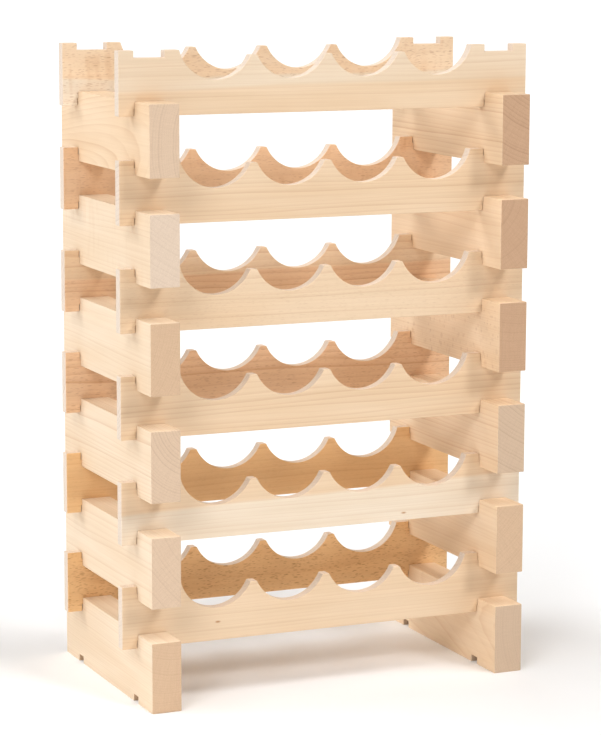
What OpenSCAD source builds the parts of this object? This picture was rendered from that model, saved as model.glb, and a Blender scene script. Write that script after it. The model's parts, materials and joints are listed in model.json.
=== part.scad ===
// Stacking wine rack in solid beech. Pairs of notched side blocks and pairs of scalloped
// bottle rails lie crosswise in turn, held only by their own weight in cross-lap notches.
// The origin is at the middle of the footprint on the floor, +Z is up and the front faces -Y.

/* [Bottle bays] */
// Bottle bays side by side along one rail
bays = 4; // [1:1:4]
// Distance from one bottle bay to the next
bay_pitch = 100; // [97:1:104]
// Radius of the cradle cut for each bottle
cradle_radius = 50; // [46:1:52]
// Depth of the cradle below the top edge of the rail
cradle_depth = 37; // [25:1:42]
// How far the points between the cradles are cut down below the top edge
point_drop = 7.5; // [5:0.5:15]

/* [Bottle rails] */
// Length of a rail, side to side
rail_length = 553; // [530:1:700]
// Height of a rail
rail_height = 79; // [65:1:120]
// Thickness of a rail, front to back
rail_thickness = 14.5; // [10:0.5:25]
// Distance from the middle of the rack to the outer face of the front and rear rails
rail_reach = 109.75; // [70:0.25:140]

/* [Side blocks] */
// Length of a block, front to back
block_length = 320; // [290:1:400]
// Width of a block, side to side
block_width = 38.5; // [25:0.5:42]
// Height of a block
block_height = 89; // [60:1:120]
// Distance from the middle of the rack to the middle of a side block
block_reach = 237; // [230:0.5:240]

/* [Joints] */
// Number of tiers, each one pair of blocks and one pair of rails
tiers = 6; // [1:1:10]
// Depth of each notch, so that two crossing pieces overlap by twice as much
notch_depth = 9; // [4:1:15]
// Free play of a rail's notch on each side of a block
block_play = 0.75; // [0.25:0.25:2]
// Free play of a block's notch on each face of a rail
rail_play = 0.5; // [0.25:0.25:2]

/* [Hidden] */
$fn = 96;
// Extra reach of every cutter past the face that it opens
cut = 1;
overlap = 2 * notch_depth;
tier_pitch = block_height + rail_height - 2 * overlap;
rail_base = block_height - overlap;
rail_y = rail_reach - rail_thickness / 2;
rail_notch_width = block_width + 2 * block_play;
block_notch_width = rail_thickness + 2 * rail_play;
// Height of a cradle's centre and of the cut-down points above the rail's lower edge
cradle_centre = rail_height - cradle_depth + cradle_radius;
point_height = rail_height - point_drop;

// Where the two pieces of a pair stand
function places(kind) = kind == "block" ? ["left", "right"] : ["front", "rear"];
// Sign of a place along its own axis: left and front are negative
function side(place) = place == "left" || place == "front" ? -1 : 1;
// Middle of each bottle bay along the rail
function bay_middle(bay) = (bay - (bays + 1) / 2) * bay_pitch;
// Half the width of a cradle at the rail's top edge
function mouth() = sqrt(pow(cradle_radius, 2) - pow(cradle_centre - rail_height, 2));

// Everything that the row of cradles takes out of the rail's outline
module cradle_row() {
    for (bay = [1:bays])
        translate([bay_middle(bay), cradle_centre])
            circle(r = cradle_radius);
    if (bays > 1)
        translate([bay_middle(1), point_height])
            square([bay_middle(bays) - bay_middle(1), point_drop + cut]);
}

// Notches that cross the blocks, in the lower and the upper edge near both ends
module rail_notches() {
    for (end = [-1, 1], edge = [0, 1])
        translate([end * block_reach - rail_notch_width / 2,
                   edge * (rail_height - notch_depth) - (1 - edge) * cut])
            square([rail_notch_width, notch_depth + cut]);
}

module rail_outline() {
    difference() {
        translate([-rail_length / 2, 0])
            square([rail_length, rail_height]);
        cradle_row();
        rail_notches();
    }
}

// One bottle rail: the outline stands upright and is as thick as the board
module rail(tier, place) {
    color(place == "front" ? "#F1DAB4" : "#E3BE92")
        translate([0, side(place) * rail_y, (tier - 1) * tier_pitch + rail_base])
            rotate([90, 0, 0])
                translate([0, 0, -rail_thickness / 2])
                    linear_extrude(rail_thickness)
                        rail_outline();
}

// One side block: a squared length of timber notched on both edges for both rails
module block(tier, place) {
    color("#F3D9B6")
        translate([side(place) * block_reach, 0, (tier - 1) * tier_pitch])
            difference() {
                translate([-block_width / 2, -block_length / 2, 0])
                    cube([block_width, block_length, block_height]);
                for (end = [-1, 1], edge = [0, 1])
                    translate([-block_width / 2 - cut,
                               end * rail_y - block_notch_width / 2,
                               edge * (block_height - notch_depth) - (1 - edge) * cut])
                        cube([block_width + 2 * cut, block_notch_width, notch_depth + cut]);
            }
}

for (tier = [1:tiers], place = places("block"))
    block(tier, place);
for (tier = [1:tiers], place = places("rail"))
    rail(tier, place);
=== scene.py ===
"""The looks of the stacking wine rack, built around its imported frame. Metres, +Z up, front towards -Y."""

import json
import math
import zlib

import bpy
from mathutils import Matrix, Vector


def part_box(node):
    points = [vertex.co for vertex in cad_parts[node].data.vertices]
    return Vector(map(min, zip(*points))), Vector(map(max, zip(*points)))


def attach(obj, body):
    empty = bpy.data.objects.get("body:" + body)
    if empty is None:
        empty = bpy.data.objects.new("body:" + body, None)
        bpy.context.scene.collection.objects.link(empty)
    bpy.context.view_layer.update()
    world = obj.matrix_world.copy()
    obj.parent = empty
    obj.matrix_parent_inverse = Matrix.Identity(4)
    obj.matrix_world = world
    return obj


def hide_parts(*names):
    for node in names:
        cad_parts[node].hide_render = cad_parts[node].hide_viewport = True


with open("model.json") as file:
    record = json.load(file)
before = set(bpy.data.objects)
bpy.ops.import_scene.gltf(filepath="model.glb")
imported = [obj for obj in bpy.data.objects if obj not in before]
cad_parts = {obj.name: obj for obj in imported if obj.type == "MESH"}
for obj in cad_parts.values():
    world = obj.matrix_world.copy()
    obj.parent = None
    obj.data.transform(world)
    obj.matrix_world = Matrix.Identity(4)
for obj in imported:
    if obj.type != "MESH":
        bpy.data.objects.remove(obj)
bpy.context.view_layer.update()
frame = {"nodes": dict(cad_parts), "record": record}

# Driving sizes that the boxes of the frame don't give
BAYS = 4
BAY_PITCH = 0.100
CRADLE_RADIUS = 0.050
CRADLE_DEPTH = 0.037
POINT_DROP = 0.0075
BLOCK_PLAY = 0.00075  # free play of a rail's notch on each side of a block
RAIL_PLAY = 0.0005  # free play of a block's notch on each face of a rail

# How the edges are worked
RIM_EASE = 0.0007  # sanded round-over along every edge of a face
CORNER_EASE = 0.0011  # the same at the corners of an outline
POINT_EASE = 0.0020  # the points between the cradles are rounder
RIM_STEPS = 4
CORNER_STEPS = 4
CRADLE_STEPS = 44
SMOOTH_ANGLE = math.radians(38)

body_of = {node: body for body, nodes in frame["record"]["behaviour"]["bodies"].items() for node in nodes}


def placed(node):
    """Middle and size of a CAD node's box."""
    low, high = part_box(node)
    return (low + high) / 2, high - low


BLOCK_MIDDLE, BLOCK_SIZE = placed("block_1_right")
RAIL_MIDDLE, RAIL_SIZE = placed("rail_1_rear")
NOTCH_DEPTH = (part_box("block_1_right")[1].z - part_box("rail_1_rear")[0].z) / 2


# ---------------------------------------------------------------- outlines

def corners(points, radius=0.0):
    """Outline points that all get the same rounding."""
    return [(Vector(point), radius) for point in points]


def notched_edge(height, notch_middles, notch_width, top):
    """The lower edge from left to right, or the upper edge from right to left, with its notches."""
    side = 1 if top else -1
    edge = side * height / 2
    floor = edge - side * NOTCH_DEPTH
    points = []
    for middle in sorted(notch_middles, reverse=top):
        near = middle + side * notch_width / 2
        far = middle - side * notch_width / 2
        points += corners([(near, edge)], CORNER_EASE) + corners([(near, floor), (far, floor)])
        points += corners([(far, edge)], CORNER_EASE)
    return points


def cradle(middle, height, left_level, right_level):
    """One round cradle from its right lip to its left lip; each level is where that lip ends."""
    centre = height / 2 - CRADLE_DEPTH + CRADLE_RADIUS
    right = -math.acos((centre - right_level) / CRADLE_RADIUS)
    left = math.acos((centre - left_level) / CRADLE_RADIUS)
    points = []
    for step in range(CRADLE_STEPS + 1):
        angle = right + (left - right) * step / CRADLE_STEPS
        points.append((middle - CRADLE_RADIUS * math.sin(angle), centre - CRADLE_RADIUS * math.cos(angle)))
    return points


def rail_outline(length, height):
    """A bottle rail seen from the front, counter-clockwise from its lower left corner."""
    notch_width = BLOCK_SIZE.x + 2 * BLOCK_PLAY
    notches = [-BLOCK_MIDDLE.x, BLOCK_MIDDLE.x]
    upper = notched_edge(height, notches, notch_width, top=True)
    half = len(upper) // 2
    outline = corners([(-length / 2, -height / 2)], CORNER_EASE)
    outline += notched_edge(height, notches, notch_width, top=False)
    outline += corners([(length / 2, -height / 2), (length / 2, height / 2)], CORNER_EASE)
    outline += upper[:half]
    for bay in reversed(range(BAYS)):
        middle = (bay - (BAYS - 1) / 2) * BAY_PITCH
        right_level = height / 2 - (0 if bay == BAYS - 1 else POINT_DROP)
        left_level = height / 2 - (0 if bay == 0 else POINT_DROP)
        curve = cradle(middle, height, left_level, right_level)
        outline += corners(curve[:1], CORNER_EASE if bay == BAYS - 1 else POINT_EASE)
        outline += corners(curve[1:-1])
        outline += corners(curve[-1:], CORNER_EASE if bay == 0 else POINT_EASE)
    outline += upper[half:]
    outline += corners([(-length / 2, height / 2)], CORNER_EASE)
    return outline


def block_outline(length, height):
    """A side block seen from the right, counter-clockwise from its lower front corner."""
    notch_width = RAIL_SIZE.y + 2 * RAIL_PLAY
    notches = [-RAIL_MIDDLE.y, RAIL_MIDDLE.y]
    outline = corners([(-length / 2, -height / 2)], CORNER_EASE)
    outline += notched_edge(height, notches, notch_width, top=False)
    outline += corners([(length / 2, -height / 2), (length / 2, height / 2)], CORNER_EASE)
    outline += notched_edge(height, notches, notch_width, top=True)
    outline += corners([(-length / 2, height / 2)], CORNER_EASE)
    return outline


def rounded(outline):
    """The outline with each corner that has a radius turned into a short arc."""
    points = []
    for index, (point, radius) in enumerate(outline):
        if not radius:
            points.append(point)
            continue
        before = (outline[index - 1][0] - point).normalized()
        after = (outline[(index + 1) % len(outline)][0] - point).normalized()
        half_angle = before.angle(after) / 2
        centre = point + (before + after).normalized() * radius / math.sin(half_angle)
        start = point + before * radius / math.tan(half_angle) - centre
        end = point + after * radius / math.tan(half_angle) - centre
        sweep = start.angle_signed(end)
        for step in range(CORNER_STEPS + 1):
            points.append(centre + Matrix.Rotation(-sweep * step / CORNER_STEPS, 2) @ start)
    return points


def inset(points, distance):
    """The outline moved inwards by a distance, with mitred corners."""
    moved = []
    for index, point in enumerate(points):
        along = (point - points[index - 1]).normalized()
        onward = (points[(index + 1) % len(points)] - point).normalized()
        normal = Vector((-along.y, along.x))
        next_normal = Vector((-onward.y, onward.x))
        bisector = (normal + next_normal).normalized()
        moved.append(point + bisector * distance / bisector.dot(normal))
    return moved


def board_mesh(name, outline, thickness, placing):
    """A board of that outline with eased rims. placing turns (along, up, through) into a local point."""
    points = rounded(outline)
    rings = []
    for step in range(RIM_STEPS + 1):
        angle = math.pi / 2 * step / RIM_STEPS
        ring = inset(points, RIM_EASE * (1 - math.sin(angle)))
        rings.append((ring, thickness / 2 - RIM_EASE * (1 - math.cos(angle))))
    rings += [(ring, -through) for ring, through in reversed(rings)]
    vertices = [placing(p.x, p.y, through) for ring, through in rings for p in ring]
    count = len(points)
    faces = [list(range(count)), list(range(len(vertices) - count, len(vertices)))[::-1]]
    for level in range(len(rings) - 1):
        for index in range(count):
            following = (index + 1) % count
            a, b = level * count, (level + 1) * count
            faces.append([a + following, a + index, b + index, b + following])
    mesh = bpy.data.meshes.new(name)
    mesh.from_pydata(vertices, [], faces)
    return mesh


# ---------------------------------------------------------------- wood

class Graph:
    """Short names for making the nodes of a tree."""

    def __init__(self, tree):
        self.tree = tree

    def feed(self, value, socket):
        if isinstance(value, bpy.types.NodeSocket):
            self.tree.links.new(value, socket)
        else:
            socket.default_value = value

    def node(self, kind, inputs=(), **settings):
        made = self.tree.nodes.new(kind)
        for name, value in settings.items():
            setattr(made, name, value)
        for name, value in dict(inputs).items():
            self.feed(value, made.inputs[name])
        return made

    def math(self, operation, a, b=0.0, c=0.0):
        made = self.tree.nodes.new("ShaderNodeMath")
        made.operation = operation
        for index, value in enumerate((a, b, c)):
            self.feed(value, made.inputs[index])
        return made.outputs[0]

    def vector(self, operation, a, b=(0, 0, 0)):
        made = self.tree.nodes.new("ShaderNodeVectorMath")
        made.operation = operation
        self.feed(a, made.inputs[0])
        self.feed(b, made.inputs[1])
        return made.outputs["Value" if operation == "LENGTH" else 0]

    def scaled(self, vector, factor):
        made = self.tree.nodes.new("ShaderNodeVectorMath")
        made.operation = "SCALE"
        self.feed(vector, made.inputs[0])
        self.feed(factor, made.inputs["Scale"])
        return made.outputs[0]

    def ramp(self, value, low, high, out_low=0.0, out_high=1.0, smooth=True):
        kind = "SMOOTHSTEP" if smooth else "LINEAR"
        limits = {"From Min": low, "From Max": high, "To Min": out_low, "To Max": out_high, "Value": value}
        return self.node("ShaderNodeMapRange", limits, interpolation_type=kind).outputs[0]

    def noise(self, position, scale, detail=2.0, roughness=0.5, output="Fac"):
        stretched = self.vector("MULTIPLY", position, scale)
        made = self.node("ShaderNodeTexNoise", {"Vector": stretched, "Scale": 1.0, "Detail": detail,
                                                "Roughness": roughness})
        return made.outputs[output]

    def mix(self, factor, a, b, blend="MIX"):
        made = self.tree.nodes.new("ShaderNodeMix")
        made.data_type = "RGBA"
        made.blend_type = blend
        for socket, value in zip((made.inputs[0], made.inputs[6], made.inputs[7]), (factor, a, b)):
            self.feed(value, socket)
        return made.outputs[2]


def linear(red, green, blue):
    """An 8-bit screen colour as the linear colour that a shader takes."""
    channels = [value / 255 for value in (red, green, blue)]
    return tuple(c / 12.92 if c < 0.04045 else ((c + 0.055) / 1.055) ** 2.4 for c in channels) + (1.0,)


GROUP_INPUTS = [
    ("Position", "NodeSocketVector", (0, 0, 0)),  # millimetres: across, up, along the grain
    ("Edge", "NodeSocketFloat", 0.0),  # 1 where the surface is end grain or a sawn edge
    ("Seed", "NodeSocketVector", (0, 0, 0)),
    ("Pith", "NodeSocketVector", (0, 0, 0)),  # where the tree's centre passes the board's middle
    ("Lean", "NodeSocketVector", (0, 0, 0)),  # how far that centre shifts per millimetre along
    ("Ring width", "NodeSocketFloat", 3.0),
    ("Warp", "NodeSocketFloat", 8.0),
    ("Ring depth", "NodeSocketFloat", 0.5),
    ("Fleck depth", "NodeSocketFloat", 0.0),
    ("Figure", "NodeSocketFloat", 0.0),
    ("Split height", "NodeSocketFloat", -200.0),
    ("Split slope", "NodeSocketFloat", 0.0),
    ("Speck", "NodeSocketVector", (0, 500, 0)),  # a pin knot
    ("Tone", "NodeSocketColor", (1, 1, 1, 1)),
    ("Lower tone", "NodeSocketColor", (1, 1, 1, 1)),
    ("Edge tone", "NodeSocketColor", (1, 1, 1, 1)),
]


def beech_group():
    """Solid beech as a three-dimensional pattern: growth rings round the pith, rays, pores and fibre."""
    tree = bpy.data.node_groups.new("beech", "ShaderNodeTree")
    for name, kind, default in GROUP_INPUTS:
        socket = tree.interface.new_socket(name, in_out="INPUT", socket_type=kind)
        socket.default_value = default
    for name, kind in (("Color", "NodeSocketColor"), ("Roughness", "NodeSocketFloat"),
                       ("Height", "NodeSocketFloat")):
        tree.interface.new_socket(name, in_out="OUTPUT", socket_type=kind)
    g = Graph(tree)
    given = tree.nodes.new("NodeGroupInput").outputs
    place = g.vector("ADD", given["Position"], given["Seed"])
    spot = g.node("ShaderNodeSeparateXYZ", {0: given["Position"]}).outputs

    # The board's own wander, so that no ring is a perfect circle
    middle = (0.5, 0.5, 0.5)
    slow = g.vector("SUBTRACT", g.noise(place, (0.011, 0.011, 0.0016), 1.5, output="Color"), middle)
    quick = g.vector("SUBTRACT", g.noise(place, (0.07, 0.07, 0.0035), 1.0, output="Color"), middle)
    slow = g.scaled(slow, given["Warp"])
    wander = g.vector("ADD", slow, g.vector("MULTIPLY", quick, (1.5, 1.5, 1.5)))
    from_pith = g.vector("SUBTRACT", g.vector("ADD", given["Position"], wander), given["Pith"])
    from_pith = g.vector("SUBTRACT", from_pith, g.scaled(given["Lean"], spot[2]))
    from_pith = g.vector("MULTIPLY", from_pith, (1, 1, 0))
    radius = g.vector("LENGTH", from_pith)

    # Growth rings: a slow darkening to a thin dark line, and a sharp fresh start
    drift = g.node("ShaderNodeCombineXYZ", {0: radius, 1: g.math("MULTIPLY", spot[2], 0.003)}).outputs[0]
    spread = g.noise(drift, (0.06, 1, 1), 1.0)
    rings = g.math("ADD", g.math("DIVIDE", radius, given["Ring width"]), g.math("MULTIPLY", spread, 2.4))
    share = g.math("FRACT", rings)
    year = g.node("ShaderNodeTexWhiteNoise", {"W": g.math("FLOOR", rings)}, noise_dimensions="1D")
    year_strength = g.ramp(year.outputs["Value"], 0, 1, 0.15, 1.0, smooth=False)
    late = g.math("MULTIPLY", g.math("POWER", share, 4.0), g.ramp(share, 1.0, 0.90))
    late = g.math("MULTIPLY", g.math("ADD", late, g.math("MULTIPLY", share, 0.25)), year_strength)

    # Fibre and streaks run along the grain
    band = g.noise(place, (0.16, 0.16, 0.0028), 2.0, 0.6)
    streak = g.noise(place, (0.60, 0.60, 0.009), 2.5, 0.6)
    fibre = g.noise(place, (3.2, 3.2, 0.09), 2.0, 0.6)
    shade = g.noise(place, (0.021, 0.021, 0.0045), 2.0)

    # Rays are thin sheets that stand along the radius: dashes on one face, flecks on the next
    parts = g.node("ShaderNodeSeparateXYZ", {0: from_pith}).outputs
    turn = g.math("ARCTAN2", parts[0], parts[1])
    round_way = g.math("MULTIPLY", turn, g.vector("LENGTH", given["Pith"]))
    ray_place = g.node("ShaderNodeCombineXYZ", {0: round_way, 1: spot[2], 2: radius}).outputs[0]
    ray_place = g.vector("ADD", ray_place, given["Seed"])

    def rays(scale, keep):
        stretched = g.vector("MULTIPLY", ray_place, scale)
        cells = g.node("ShaderNodeTexVoronoi", {"Vector": stretched, "Scale": 1.0},
                       voronoi_dimensions="3D", feature="F1")
        chosen = g.node("ShaderNodeSeparateColor", {0: cells.outputs["Color"]}).outputs[0]
        body = g.ramp(cells.outputs["Distance"], 0.46, 0.20)
        return g.math("MULTIPLY", body, g.ramp(chosen, 1 - keep, 1.0, 0.0, 1.0, smooth=False))

    flecks = g.math("MAXIMUM", rays((1.0, 0.16, 0.05), 0.60), rays((0.60, 0.10, 0.03), 0.45))
    flecks = g.math("MULTIPLY", flecks, given["Fleck depth"])
    figure = g.noise(ray_place, (0.02, 0.11, 0.012), 1.5, 0.5)
    patch = g.ramp(g.noise(place, (0.03, 0.03, 0.012), 1.0), 0.42, 0.62)
    figure = g.math("MULTIPLY", g.math("MULTIPLY", g.ramp(figure, 0.50, 0.72), patch), given["Figure"])

    # A small knot, drawn out along the grain
    to_speck = g.vector("MULTIPLY", g.vector("SUBTRACT", given["Position"], given["Speck"]), (0, 1, 0.4))
    speck = g.ramp(g.vector("LENGTH", to_speck), 2.1, 0.3)

    # Colour on the long faces
    boundary = g.math("ADD", given["Split height"], g.math("MULTIPLY", spot[2], given["Split slope"]))
    boundary = g.math("SUBTRACT", boundary, g.math("MULTIPLY", g.math("SUBTRACT", shade, 0.5), 14.0))
    lower = g.ramp(g.math("SUBTRACT", spot[1], boundary), 2.5, -2.5)
    tone = g.mix(lower, given["Tone"], given["Lower tone"])
    pale = g.mix(1.0, tone, (1.02, 1.03, 1.045, 1), "MULTIPLY")
    warm = g.mix(1.0, tone, (0.985, 0.960, 0.930, 1), "MULTIPLY")
    body_colour = g.mix(g.ramp(shade, 0.30, 0.70), pale, warm)
    line = g.math("MULTIPLY", late, given["Ring depth"])
    body_colour = g.mix(line, body_colour, g.mix(1.0, body_colour, linear(216, 186, 156), "MULTIPLY"))
    play = g.math("ADD", g.math("MULTIPLY", streak, 0.26), g.math("MULTIPLY", fibre, 0.08))
    play = g.math("ADD", g.math("MULTIPLY", band, 0.26), play)
    play = g.math("SUBTRACT", play, 0.30)
    darker = g.mix(1.0, body_colour, (0.80, 0.75, 0.68, 1), "MULTIPLY")
    lighter = g.mix(1.0, body_colour, (1.16, 1.21, 1.28, 1), "MULTIPLY")
    body_colour = g.mix(g.math("ADD", play, 0.5), darker, lighter)
    body_colour = g.mix(figure, body_colour, g.mix(1.0, body_colour, linear(232, 214, 196), "MULTIPLY"))
    body_colour = g.mix(flecks, body_colour, g.mix(1.0, body_colour, linear(178, 136, 98), "MULTIPLY"))
    body_colour = g.mix(speck, body_colour, g.mix(1.0, body_colour, linear(214, 184, 156), "MULTIPLY"))

    # End grain and sawn edges are duller, with pores and pale rays across the rings
    pore = g.noise(place, (2.4, 2.4, 0.5), 2.0, 0.7)
    spoke = g.noise(ray_place, (1.4, 0.2, 0.05), 2.0, 0.6)
    edge_colour = g.mix(g.ramp(pore, 0.25, 0.75), (0.88, 0.87, 0.86, 1), (1.07, 1.08, 1.09, 1))
    edge_colour = g.mix(1.0, given["Edge tone"], edge_colour, "MULTIPLY")
    edge_colour = g.mix(g.ramp(spoke, 0.3, 0.7), g.mix(1.0, edge_colour, (0.95, 0.94, 0.93, 1), "MULTIPLY"),
                        edge_colour)
    edge_line = g.math("MINIMUM", g.math("MULTIPLY", line, 0.75), 1.0)
    edge_colour = g.mix(edge_line, edge_colour, g.mix(1.0, edge_colour, linear(196, 180, 170), "MULTIPLY"))
    edge = g.ramp(given["Edge"], 0.45, 0.95)
    colour = g.mix(edge, body_colour, edge_colour)

    rough = g.math("ADD", g.math("MULTIPLY", fibre, 0.14), 0.48)
    rough = g.math("ADD", rough, g.math("MULTIPLY", edge, 0.14))
    height = g.math("SUBTRACT", g.math("ADD", fibre, g.math("MULTIPLY", streak, 0.8)), flecks)
    height = g.math("SUBTRACT", height, g.math("MULTIPLY", late, 0.5))
    height = g.math("ADD", height, g.math("MULTIPLY", edge, pore))

    out = tree.nodes.new("NodeGroupOutput")
    g.feed(colour, out.inputs["Color"])
    g.feed(rough, out.inputs["Roughness"])
    g.feed(height, out.inputs["Height"])
    return tree


BEECH = beech_group()

# Tones of the wood, as 8-bit screen colours
PALE = (235, 215, 190)
STRAW = (235, 210, 180)
PEACH = (245, 220, 190)
ROSE = (245, 210, 175)
HONEY = (245, 205, 155)
SAPWOOD = (240, 225, 205)
END_LIGHT = (230, 210, 190)
END_CREAM = (225, 200, 175)
END_TAN = (220, 190, 160)
END_ROSE = (215, 190, 165)
END_BROWN = (205, 170, 140)

# How each board was cut from the tree. pith is where the tree's centre passes the board's middle: its
# direction in degrees, 0 straight up and 90 to the right of a block or behind a rail, and its distance in
# millimetres. lean is how far that centre shifts per millimetre along the board. ring is the width of a
# growth ring and warp how far it wanders. split is the height and slope of a border between two tones, and
# speck is where a small knot lies, along and up. lines, flecks and figure are strengths from 0 to 1.
USUAL = {"lean": (0.0, 0.0), "warp": 9.0, "lines": 0.28, "flecks": 0.0, "figure": 0.0,
         "split": (-200.0, 0.0), "speck": (0.0, 500.0)}
CUTS = {
    "block_1_left": {"pith": (6, 150), "ring": 3.4, "warp": 20, "tone": PALE, "end": END_TAN},
    "block_2_left": {"pith": (52, 240), "ring": 4.4, "lines": 0.3, "tone": PALE, "end": END_CREAM},
    "block_3_left": {"pith": (38, 70), "ring": 3.8, "lines": 0.55, "tone": PALE, "end": END_CREAM},
    "block_4_left": {"pith": (-68, 150), "ring": 3.2, "lean": (0.015, 0.03), "tone": PALE,
                     "end": END_TAN},
    "block_5_left": {"pith": (30, 260), "ring": 5.2, "lines": 0.28, "figure": 0.14, "tone": PALE,
                     "end": END_LIGHT},
    "block_6_left": {"pith": (113, 130), "ring": 3.4, "lean": (-0.095, -0.28), "lines": 0.42,
                     "tone": STRAW, "end": END_CREAM},
    "block_1_right": {"pith": (80, 200), "ring": 3.6, "lean": (0.07, 0.10), "tone": PEACH,
                      "end": END_ROSE},
    "block_2_right": {"pith": (-45, 220), "ring": 4.2, "tone": PEACH, "end": END_TAN},
    "block_3_right": {"pith": (30, 230), "ring": 4.6, "lines": 0.5, "tone": PEACH, "end": END_ROSE},
    "block_4_right": {"pith": (3, 190), "ring": 3.0, "flecks": 0.2, "tone": PEACH, "end": END_BROWN},
    "block_5_right": {"pith": (-48, 95), "ring": 4.4, "tone": PEACH, "end": END_BROWN},
    "block_6_right": {"pith": (27, 190), "ring": 5.0, "lines": 0.6, "tone": STRAW, "end": END_BROWN},
    "rail_1_front": {"pith": (20, 210), "ring": 4.4, "speck": (-149.0, -16.0), "tone": STRAW},
    "rail_2_front": {"pith": (12, 240), "ring": 5.0, "split": (6.0, 0.03), "speck": (109.0, -30.0),
                     "tone": STRAW, "lower": SAPWOOD},
    "rail_3_front": {"pith": (38, 150), "ring": 5.2, "warp": 16, "lean": (0.0, 0.01), "lines": 0.5,
                     "tone": STRAW},
    "rail_4_front": {"pith": (55, 200), "ring": 3.6, "flecks": 0.12, "lines": 0.35, "tone": STRAW},
    "rail_5_front": {"pith": (15, 260), "ring": 5.4, "lines": 0.45, "tone": STRAW},
    "rail_6_front": {"pith": (8, 230), "ring": 5.0, "split": (-6.0, 0.02), "tone": PALE, "lower": STRAW},
    "rail_1_rear": {"pith": (84, 170), "ring": 4.0, "flecks": 0.6, "lines": 0.3, "tone": HONEY},
    "rail_2_rear": {"pith": (48, 180), "ring": 4.6, "flecks": 0.1, "tone": HONEY},
    "rail_3_rear": {"pith": (58, 140), "ring": 4.0, "flecks": 0.3, "lines": 0.6, "tone": ROSE},
    "rail_4_rear": {"pith": (50, 160), "ring": 4.8, "flecks": 0.15, "lines": 0.6, "split": (2.0, 0.0),
                    "tone": PEACH, "lower": ROSE},
    "rail_5_rear": {"pith": (74, 150), "ring": 4.0, "flecks": 0.3, "figure": 0.5, "split": (-4.0, 0.0),
                    "tone": ROSE},
    "rail_6_rear": {"pith": (76, 160), "ring": 4.2, "flecks": 0.45, "figure": 0.3, "split": (-6.0, 0.0),
                    "tone": PEACH, "lower": SAPWOOD},
}
RAIL_SAWN = (240, 220, 200)  # the cradles and the long edges of a rail
RAIL_END = (230, 215, 200)


def beech(node):
    """The material of one board: the shared pattern with this board's own cut and tones."""
    cut = {**USUAL, **CUTS[node]}
    is_rail = node.startswith("rail")
    material = bpy.data.materials.new("beech_" + node)
    material.use_nodes = True
    tree = material.node_tree
    g = Graph(tree)
    shader = tree.nodes["Principled BSDF"]
    coordinates = tree.nodes.new("ShaderNodeTexCoord").outputs
    spot = g.node("ShaderNodeSeparateXYZ", {0: coordinates["Object"]}).outputs
    face = g.node("ShaderNodeSeparateXYZ", {0: coordinates["Normal"]}).outputs
    across, along = (1, 0) if is_rail else (0, 1)
    position = g.node("ShaderNodeCombineXYZ", {0: spot[across], 1: spot[2], 2: spot[along]}).outputs[0]
    broad_side = g.math("ABSOLUTE", face[1])
    if is_rail:
        edge = g.math("SUBTRACT", 1.0, broad_side)
        edge_tone = g.mix(g.math("ABSOLUTE", face[0]), linear(*RAIL_SAWN), linear(*RAIL_END))
    else:
        edge = broad_side
        edge_tone = linear(*cut["end"])
    seed = zlib.crc32(node.encode()) % 997
    turn, far = math.radians(cut["pith"][0]), cut["pith"][1]
    values = {
        "Position": g.scaled(position, 1000.0),
        "Edge": edge,
        "Seed": (seed * 1.7, seed * 0.9, seed * 2.3),
        "Pith": (far * math.sin(turn), far * math.cos(turn), 0),
        "Lean": (*cut["lean"], 0),
        "Ring width": cut["ring"],
        "Warp": cut["warp"],
        "Ring depth": cut["lines"],
        "Fleck depth": cut["flecks"],
        "Figure": cut["figure"],
        "Split height": cut["split"][0],
        "Split slope": cut["split"][1],
        "Speck": (0, cut["speck"][1], cut["speck"][0]),
        "Tone": linear(*cut["tone"]),
        "Lower tone": linear(*cut.get("lower", cut["tone"])),
        "Edge tone": edge_tone,
    }
    wood = g.node("ShaderNodeGroup", values, node_tree=BEECH)
    relief = wood.outputs["Height"]
    bump = g.node("ShaderNodeBump", {"Strength": 0.35, "Distance": 0.0002, "Height": relief})
    tree.links.new(wood.outputs["Color"], shader.inputs["Base Color"])
    tree.links.new(wood.outputs["Roughness"], shader.inputs["Roughness"])
    tree.links.new(bump.outputs["Normal"], shader.inputs["Normal"])
    shader.inputs["Specular IOR Level"].default_value = 0.30
    return material


# ---------------------------------------------------------------- pieces

def add_piece(node, mesh, material):
    """A finished board in the place of its CAD node, riding on the node's body."""
    mesh.materials.append(material)
    mesh.polygons.foreach_set("use_smooth", [True] * len(mesh.polygons))
    mesh.set_sharp_from_angle(angle=SMOOTH_ANGLE)
    piece = bpy.data.objects.new(node + "_timber", mesh)
    bpy.context.scene.collection.objects.link(piece)
    piece.location = placed(node)[0]
    flat_faces = piece.modifiers.new("flat faces", "WEIGHTED_NORMAL")
    flat_faces.keep_sharp = True
    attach(piece, body_of[node])
    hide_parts(node)


def add_rail(node):
    """A bottle rail, cut through from front to back."""
    outline = rail_outline(RAIL_SIZE.x, RAIL_SIZE.z)
    mesh = board_mesh(node, outline, RAIL_SIZE.y, lambda along, up, through: (along, -through, up))
    add_piece(node, mesh, beech(node))


def add_block(node):
    """A side block, cut through from side to side."""
    outline = block_outline(BLOCK_SIZE.y, BLOCK_SIZE.z)
    mesh = board_mesh(node, outline, BLOCK_SIZE.x, lambda along, up, through: (through, along, up))
    add_piece(node, mesh, beech(node))


for name in sorted(frame["nodes"]):
    if name.startswith("rail"):
        add_rail(name)
    else:
        add_block(name)


# ---------------------------------------------------------------- studio

FLOOR_WIDTH = 120.0
LAMP_DISTANCE = 4.0  # only for show: the light of a distant lamp doesn't depend on it
WHITE = (1.0, 1.0, 1.0, 1.0)
CAMERA_PLACE = (-1.427, -3.256, 0.978)
CAMERA_HEADING = math.radians(23.84)  # to the right of straight back
CAMERA_TILT = math.radians(-9.36)
CAMERA_ROLL = math.radians(0.2)
CAMERA_LENS = 136.2


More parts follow.
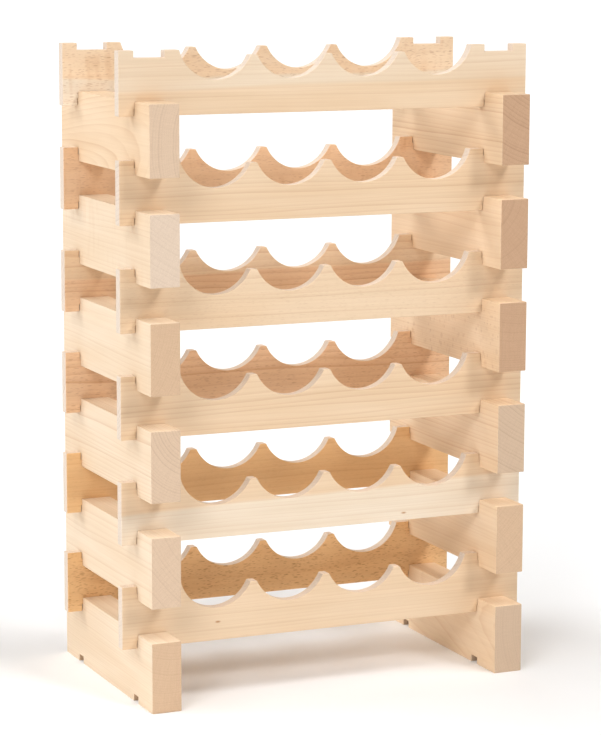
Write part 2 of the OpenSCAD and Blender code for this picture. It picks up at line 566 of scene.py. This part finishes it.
def add_floor():
    """A wide pale floor that fills the view."""
    half = FLOOR_WIDTH / 2
    around = [(-half, -half, 0), (half, -half, 0), (half, half, 0), (-half, half, 0)]
    mesh = bpy.data.meshes.new("floor")
    mesh.from_pydata(around, [], [(0, 1, 2, 3)])
    material = bpy.data.materials.new("floor")
    material.use_nodes = True
    shader = material.node_tree.nodes["Principled BSDF"]
    shader.inputs["Base Color"].default_value = (0.95, 0.95, 0.95, 1)
    shader.inputs["Roughness"].default_value = 0.9
    shader.inputs["Specular IOR Level"].default_value = 0.1
    mesh.materials.append(material)
    floor = bpy.data.objects.new("floor", mesh)
    bpy.context.scene.collection.objects.link(floor)


def add_softbox(name, azimuth, elevation, spread, strength):
    """Even light from one direction, spread as many degrees wide. Azimuth 0 is the front, 90 the right."""
    turn, lift = math.radians(azimuth), math.radians(elevation)
    away = Vector((math.sin(turn) * math.cos(lift), -math.cos(turn) * math.cos(lift), math.sin(lift)))
    lamp = bpy.data.lights.new(name, "SUN")
    lamp.angle = math.radians(spread)
    lamp.energy = strength
    light = bpy.data.objects.new(name, lamp)
    light.location = away * LAMP_DISTANCE
    light.rotation_euler = away.to_track_quat("Z", "Y").to_euler()
    bpy.context.scene.collection.objects.link(light)


def add_camera():
    """The camera at the photograph's viewing angle."""
    data = bpy.data.cameras.new("camera")
    data.lens = CAMERA_LENS
    data.sensor_width = 36.0
    data.clip_end = 200.0
    camera = bpy.data.objects.new("camera", data)
    camera.location = CAMERA_PLACE
    aim = Matrix.Rotation(-CAMERA_HEADING, 3, "Z") @ Matrix.Rotation(math.pi / 2 + CAMERA_TILT, 3, "X")
    camera.rotation_euler = (aim @ Matrix.Rotation(CAMERA_ROLL, 3, "Z")).to_euler()
    bpy.context.scene.collection.objects.link(camera)
    bpy.context.scene.camera = camera


def add_sky(strength):
    """A white backdrop to look at, and faint even light from all round."""
    world = bpy.data.worlds.new("studio")
    world.use_nodes = True
    tree = world.node_tree
    light = tree.nodes["Background"]
    light.inputs["Color"].default_value = WHITE
    light.inputs["Strength"].default_value = strength
    backdrop = tree.nodes.new("ShaderNodeBackground")
    backdrop.inputs["Color"].default_value = WHITE
    backdrop.inputs["Strength"].default_value = 1.0
    ray = tree.nodes.new("ShaderNodeLightPath")
    either = tree.nodes.new("ShaderNodeMixShader")
    tree.links.new(ray.outputs["Is Camera Ray"], either.inputs[0])
    tree.links.new(light.outputs[0], either.inputs[1])
    tree.links.new(backdrop.outputs[0], either.inputs[2])
    tree.links.new(either.outputs[0], tree.nodes["World Output"].inputs["Surface"])
    bpy.context.scene.world = world


add_floor()
add_sky(0.05)
add_softbox("softbox_left", -45, 35, 24, 0.9)
add_softbox("softbox_right", 21, 33, 14, 0.85)
add_softbox("softbox_above", 48, 65, 26, 0.95)
add_softbox("softbox_above_left", -72, 60, 36, 0.55)
add_softbox("reflector_left", -85, 6, 24, 0.2)
add_softbox("softbox_behind_left", -122, 38, 40, 1.4)
add_softbox("softbox_behind", 180, 30, 40, 0.4)
add_camera()
bpy.context.scene.view_settings.view_transform = "Standard"
bpy.context.scene.view_settings.gamma = 0.90
bpy.context.scene.view_settings.exposure = 0.10
